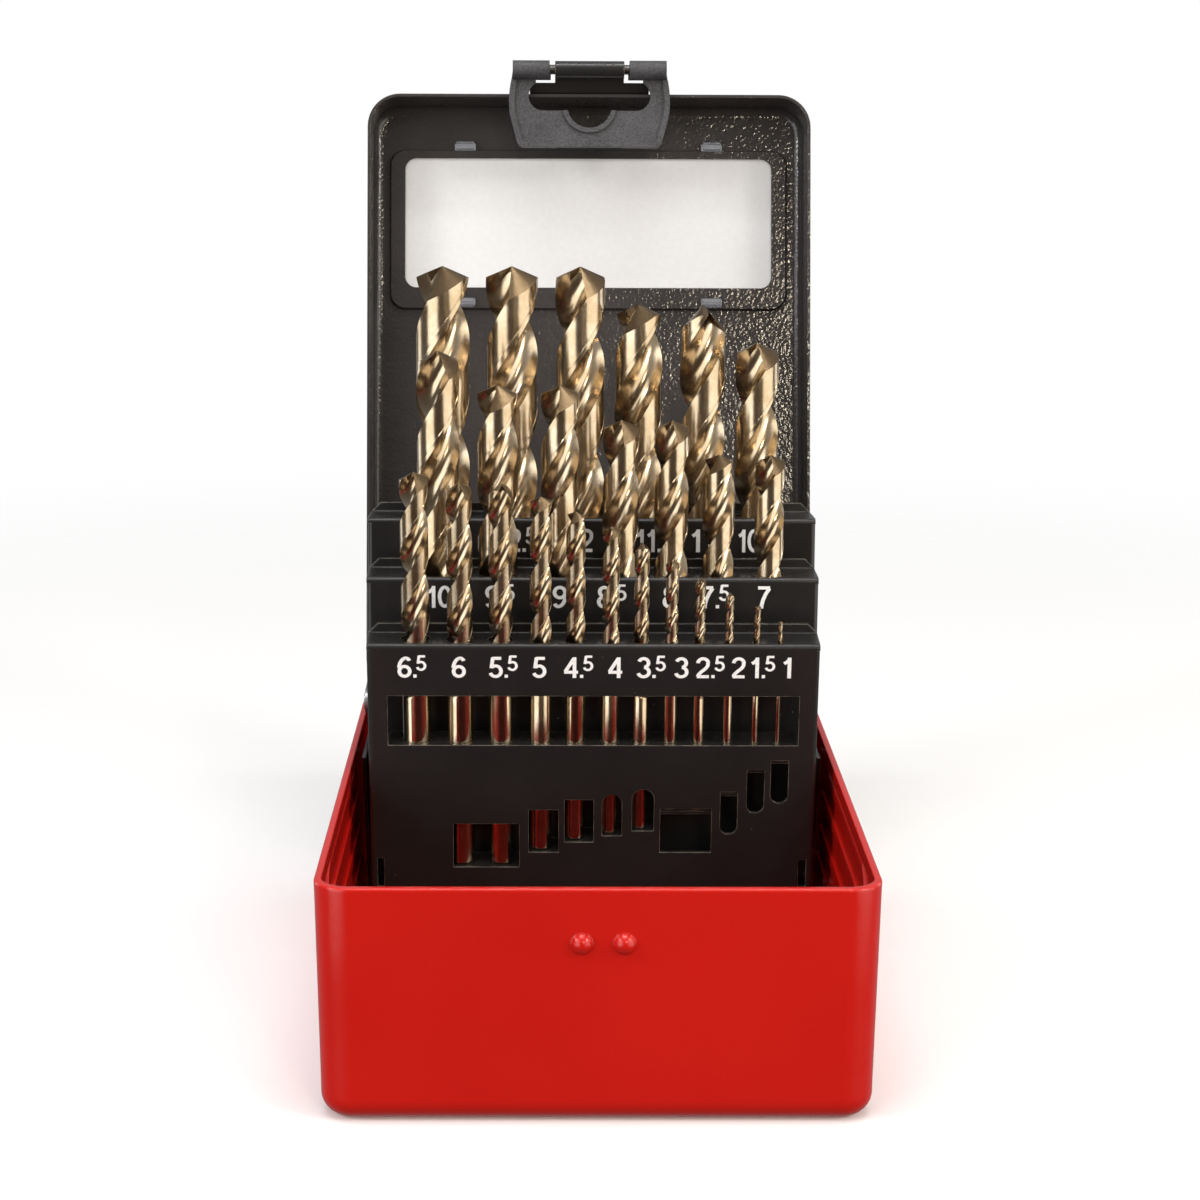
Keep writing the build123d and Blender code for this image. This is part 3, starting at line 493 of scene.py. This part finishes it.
# ---------------------------------------------------------------------- drills
# size: (rack, length, flute length, x, s of the shank's end, turn of the lips at the tip)
DRILLS = {
    6.5: (FRONT, 101, 53, -40.9, 0.8, 46), 6.0: (FRONT, 93, 50.5, -30.7, 6.5, 69), 5.5: (FRONT, 93, 50.5, -21.3, 6.5, -85),
    5.0: (FRONT, 86, 47, -12.1, 10.3, 14), 4.5: (FRONT, 80, 44, -4.1, 12.9, -17), 4.0: (FRONT, 75, 40, 4.0, 14.5, 36),
    3.5: (FRONT, 70, 37, 11.0, 15.75, -60), 3.0: (FRONT, 61, 32, 17.9, 20.5, 30), 2.5: (FRONT, 57, 29, 24.4, 20.5, 80),
    2.0: (FRONT, 49, 24, 31.1, 25.1, 120), 1.5: (FRONT, 40, 18, 37.5, 31.0, 45), 1.0: (FRONT, 34, 12, 42.8, 33.3, 0),
    10.0: (MID, 133, 87, -36.15, 0.8, 64), 9.5: (MID, 125, 81, -22.3, 0.8, 9), 9.0: (MID, 125, 81, -7.7, 0.8, 24),
    8.5: (MID, 117, 75, 6.5, 0.8, 38), 8.0: (MID, 117, 75, 18.4, 0.8, 48), 7.5: (MID, 109, 69, 29.45, 0.8, -22),
    7.0: (MID, 109, 69, 41.35, 0.8, 45),
    13.0: (REAR, 151, 101, -35.9, 0.8, -2), 12.5: (REAR, 151, 101, -19.3, 0.8, 22), 12.0: (REAR, 151, 101, -2.9, 0.8, 44),
    11.5: (REAR, 142, 94, 11.2, 0.8, -16), 11.0: (REAR, 142, 94, 26.6, 0.8, -70), 10.5: (REAR, 133, 87, 39.7, 0.8, 47),
}
PITCH = 4.76
POINT_SLOPE = math.tan(math.radians(22.5))
LAND_R = 0.99
HEEL = 102.0
MARGIN = 168.5


def section(flute_pts=18, land_pts=8):
    """One half of a two-flute drill's section, as (angle, radius): flute, then land, then margin."""
    hx, hy = LAND_R * math.cos(math.radians(HEEL)), LAND_R * math.sin(math.radians(HEEL))
    p0, p1, p2, p3 = Vector((1, 0)), Vector((0.22, -0.06)), Vector((-0.27, 0.13)), Vector((hx, hy))
    half = []
    for i in range(flute_pts + 1):
        t = i / flute_pts
        t = t + 0.04 * math.sin(2 * math.pi * t)
        q = p0 * (1 - t) ** 3 + p1 * 3 * t * (1 - t) ** 2 + p2 * 3 * t * t * (1 - t) + p3 * t ** 3
        half.append((math.atan2(q.y, q.x), q.length))
    a0, a1 = math.radians(HEEL), math.radians(MARGIN)
    for i in range(1, land_pts + 1):
        half.append((a0 + (a1 - a0) * i / land_pts, LAND_R))
    half.append((a1 + math.radians(0.8), 1.0))
    half.append((math.pi - math.radians(5), 1.0))
    return half


HALF = section()


def drill_mesh(d, length, flute, lip_deg, name):
    r = d / 2
    pitch = PITCH * d
    ring = [(a, q) for a, q in HALF] + [(a + math.pi, q) for a, q in HALF]
    m = len(ring)
    top = length - r * POINT_SLOPE
    runout = 1.5 * d
    z_start = length - flute - 0.1 * d
    steps = max(60, int(flute / pitch * 52))
    lip = math.radians(lip_deg + 6)
    bm = bmesh.new()
    rings = []

    def depth(z):
        t = (z - z_start) / runout
        t = min(1.0, max(0.0, t))
        return t * (2 - t)

    def relief(th, rad):
        # narrow ground flank behind the lip, then a steep plane down to the heel
        al = min((-th + 1e-4) % math.pi, 1.5)
        t = min(1.0, rad / (0.16 * r))
        t = t * t * (3 - 2 * t)
        return rad * (0.06 * al + 0.92 * math.sin(max(0.0, al - 0.36))) * t

    def z_top(th, rad):
        return length - rad * POINT_SLOPE - relief(th, rad)

    # shank with a small chamfer
    c = 0.08 * d
    for z, k in ((0.0, (r - c) / r), (c, 1.0), (z_start * 0.5, 1.0), (z_start, 1.0)):
        rings.append([bm.verts.new((r * k * math.cos(a), r * k * math.sin(a), z)) for a, q in ring])
    base_a = [a for a, q in ring]
    # fluted part
    for i in range(1, steps + 1):
        t = i / steps
        vs = []
        for j, (a, q) in enumerate(ring):
            zt = z_top(a, r * q)
            z = z_start + (zt - z_start) * t
            w = depth(z)
            rad = r * (1 + (q - 1) * w)
            tw = lip + 2 * math.pi * (z - length) / pitch
            # the shank rings are turned below so that the rings meet
            vs.append((rad, a + tw, z))
        rings.append([bm.verts.new((q * math.cos(a), q * math.sin(a), z)) for q, a, z in vs])
    # the shank rings take the twist of the first fluted ring
    tw0 = lip + 2 * math.pi * (z_start - length) / pitch
    rot = Matrix.Rotation(tw0, 4, "Z")
    for rg in rings[:4]:
        for v in rg:
            v.co = rot @ v.co
    for a, b in zip(rings, rings[1:]):
        for j in range(m):
            k = (j + 1) % m
            bm.faces.new((a[j], a[k], b[k], b[j]))
    bm.faces.new(list(reversed(rings[0])))
    # ground point
    prev = rings[-1]
    shank_faces = len(bm.faces)
    for f in (0.88, 0.75, 0.62, 0.5, 0.38, 0.27, 0.17, 0.08):
        cur = []
        for a, q in ring:
            rad = r * q * f
            z = z_top(a, rad)
            tw = lip + 2 * math.pi * (z_top(a, r * q) - length) / pitch
            cur.append(bm.verts.new((rad * math.cos(a + tw), rad * math.sin(a + tw), z)))
        for j in range(m):
            k = (j + 1) % m
            bm.faces.new((prev[j], prev[k], cur[k], cur[j]))
        prev = cur
    tip = bm.verts.new((0, 0, length))
    for j in range(m):
        bm.faces.new((prev[j], prev[(j + 1) % m], tip))
    bm.faces.ensure_lookup_table()
    for i, f in enumerate(bm.faces):
        f.material_index = 1 if i >= shank_faces else 0
    bmesh.ops.recalc_face_normals(bm, faces=bm.faces)
    me = bpy.data.meshes.new(name)
    bm.to_mesh(me)
    bm.free()
    me.shade_smooth()
    me.set_sharp_from_angle(angle=math.radians(32))
    return me


def make_drills():
    for d, (rack, length, flute, x, s0, lip) in DRILLS.items():
        key = ("%.1f" % d).replace(".", "_")
        me = drill_mesh(d, length - 0.06, flute, lip, "bit_" + key)
        b = rack.basis()
        o = rack.pt(x, 1.0 + d / 2, s0 + 0.05)
        for v in me.vertices:
            v.co = o + b @ (v.co / 1000)
        ob = bpy.data.objects.new("twist_drill_" + key, me)
        bpy.context.collection.objects.link(ob)
        me.materials.append(GOLD)
        me.materials.append(GROUND)
        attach(ob, "bit_" + key)
        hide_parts("drill_" + key)


make_drills()


# -------------------------------------------------------------------- numerals
def arc(cx, cy, rx, ry, a0, a1, k=14):
    return [(cx + rx * math.cos(math.radians(a0 + (a1 - a0) * i / k)), cy + ry * math.sin(math.radians(a0 + (a1 - a0) * i / k)))
            for i in range(k + 1)]


# centre lines in a cell 1 high, stroke width 0.14; each digit: (width, strokes)
DIGITS = {
    "0": (0.56, [arc(0.28, 0.5, 0.21, 0.43, 90, 450, 32)]),
    "1": (0.42, [[(0.08, 0.70), (0.17, 0.755), (0.255, 0.85), (0.29, 0.93)], [(0.29, 0.985), (0.29, 0.0)]]),
    "2": (0.56, [arc(0.285, 0.70, 0.205, 0.23, 175, 20, 12) + [(0.47, 0.60), (0.40, 0.47), (0.22, 0.30), (0.115, 0.17), (0.08, 0.07)],
                 [(0.05, 0.07), (0.52, 0.07)]]),
    "3": (0.56, [arc(0.27, 0.72, 0.19, 0.21, 160, -80, 14), arc(0.27, 0.285, 0.215, 0.225, 85, -165, 16)]),
    "4": (0.58, [[(0.42, 0.0), (0.42, 0.985)], [(0.40, 0.93), (0.06, 0.30)], [(0.02, 0.275), (0.56, 0.275)]]),
    "5": (0.56, [[(0.49, 0.93), (0.145, 0.93)], [(0.165, 0.97), (0.105, 0.46)], arc(0.265, 0.315, 0.215, 0.255, 135, -160, 18)]),
    "6": (0.56, [arc(0.28, 0.30, 0.205, 0.235, 0, 360, 24), arc(0.36, 0.42, 0.295, 0.52, 175, 95, 10) + arc(0.33, 0.74, 0.15, 0.195, 95, 20, 6)]),
    "7": (0.56, [[(0.05, 0.93), (0.51, 0.93)], [(0.49, 0.90), (0.36, 0.68), (0.26, 0.42), (0.205, 0.18), (0.19, 0.0)]]),
    "8": (0.56, [arc(0.28, 0.735, 0.175, 0.2, 0, 360, 22), arc(0.28, 0.285, 0.21, 0.225, 0, 360, 24)]),
    "9": (0.56, [arc(0.28, 0.70, 0.205, 0.235, 0, 360, 24), arc(0.20, 0.58, 0.295, 0.52, -5, -85, 10) + arc(0.23, 0.26, 0.15, 0.195, -85, -160, 6)]),
}
STROKE = 0.145


def ribbon(bm, pts, w, place):
    """A flat strip along a polyline."""
    n = len(pts)
    closed = n > 8 and (Vector(pts[0]) - Vector(pts[-1])).length < 1e-5
    left, right = [], []
    for i in range(n):
        if closed:
            a, b = Vector(pts[(i - 1) % (n - 1)]), Vector(pts[(i + 1) % (n - 1)])
        else:
            a, b = Vector(pts[max(0, i - 1)]), Vector(pts[min(n - 1, i + 1)])
        t = (b - a).normalized()
        p = Vector((-t.y, t.x)) * w / 2
        c = Vector(pts[i])
        left.append(bm.verts.new(place(c + p)))
        right.append(bm.verts.new(place(c - p)))
    for i in range(n - 1):
        bm.faces.new((right[i], right[i + 1], left[i + 1], left[i]))


def numeral(bm, rack, text, x0, x1, s0, s1, raised):
    """text such as 6.5: big digits, a dot, and a small raised digit."""
    h = s1 - s0
    big, dot, small = text.partition(".")
    wb = sum(DIGITS[c][0] for c in big) + 0.04 * (len(big) - 1)
    if dot:
        ks = 0.66
        total = wb + 0.17 + DIGITS[small][0] * ks
    else:
        total = wb
    # side bearings are part of a digit's width: the strokes span a bit less
    sx = (x1 - x0) / (total * h) if x1 else 1.0
    sx = max(0.85, min(1.15, sx))
    x = x0

    def put(ch, x, s, hh, fx):
        for k, st in enumerate(DIGITS[ch][1]):
            def place(p):
                return rack.pt(x + p.x * hh * fx, -0.036 - 0.006 * k, s + p.y * hh)
            ribbon(bm, st, STROKE, place)
    for c in big:
        put(c, x, s0, h, sx)
        x += (DIGITS[c][0] + 0.04) * h * sx
    if dot:
        q = 0.15 * h
        xd = x + 0.02 * h
        vs = [bm.verts.new(rack.pt(a, -0.035, b)) for a, b in ((xd, s0), (xd + q, s0), (xd + q, s0 + q), (xd, s0 + q))]
        bm.faces.new(vs)
        x = xd + q - 0.02 * h
        hs = raised[1] - raised[0]
        put(small, x, raised[0], hs, sx)


LABELS = {
    "front": (FRONT, 54.0, 59.1, (55.7, 59.45), [
        ("6.5", -44.95, -37.4), ("6", -32.5, -28.9), ("5.5", -24.0, -16.5), ("5", -14.0, -10.4), ("4.5", -6.8, 0.8),
        ("4", 3.35, 7.0), ("3.5", 9.95, 17.3), ("3", 18.6, 22.0), ("2.5", 23.5, 30.9), ("2", 31.7, 35.1),
        ("1.5", 35.9, 43.0), ("1", 43.3, 45.9)]),
    "mid": (MID, 74.1, 79.4, (75.9, 79.8), [
        ("10", -38.9, -33.0), ("9.5", -25.2, -17.3), ("9", -9.4, -5.7), ("8.5", 1.0, 8.9), ("8", 16.4, 20.0),
        ("7.5", 25.1, 32.4), ("7", 38.4, 42.1)]),
    "rear": (REAR, 83.8, 89.4, (85.7, 89.8), [
        ("13", -39.0, -33.0), ("12.5", -22.6, -14.0), ("12", -5.6, 0.4), ("11.5", 10.4, 18.6), ("11", 23.7, 29.7),
        ("10.5", 35.0, 43.4)]),
}


def make_numerals():
    for key, (rack, s0, s1, raised, items) in LABELS.items():
        bm = bmesh.new()
        for text, x0, x1 in items:
            numeral(bm, rack, text, x0, x1, s0, s1, raised)
        ext = bmesh.ops.extrude_face_region(bm, geom=bm.faces[:])
        vs = [e for e in ext["geom"] if isinstance(e, bmesh.types.BMVert)]
        bmesh.ops.translate(bm, verts=vs, vec=rack.n * 0.03 / 1000)
        bmesh.ops.recalc_face_normals(bm, faces=bm.faces)
        me = bpy.data.meshes.new("numbers_" + key)
        bm.to_mesh(me)
        bm.free()
        me.materials.append(INK)
        o = bpy.data.objects.new("numbers_" + key, me)
        bpy.context.collection.objects.link(o)
        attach(o, rack.body)


make_numerals()


# ------------------------------------------------ moulding marks on the flap
def make_flap_marks():
    bm = bmesh.new()
    prof = ((0.78, 2.35), (0.86, 2.20), (1.02, 2.17), (1.14, 2.24), (1.2, 2.35))
    for cx, cw in ((-8.2, 13.3), (8.2, 13.3), (-17.4, 5.6), (17.4, 5.6)):
        loops = []
        for i in range(40):
            a = 2 * math.pi * i / 40
            loops.append([bm.verts.new(lid_pt(cx + q * math.cos(a), -5.6 + cw + q * math.sin(a), 47.2 + t)) for q, t in prof])
        for i in range(40):
            u, v = loops[i], loops[(i + 1) % 40]
            for j in range(len(prof) - 1):
                bm.faces.new((u[j], u[j + 1], v[j + 1], v[j]))
    bmesh.ops.recalc_face_normals(bm, faces=bm.faces)
    me = bpy.data.meshes.new("flap_marks")
    bm.to_mesh(me)
    bm.free()
    me.shade_smooth()
    me.materials.append(PLASTIC)
    o = bpy.data.objects.new("flap_marks", me)
    bpy.context.collection.objects.link(o)
    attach(o, "catch_flap")


make_flap_marks()

bpy.context.scene.view_settings.view_transform = "Standard"
bpy.context.scene.view_settings.look = "None"
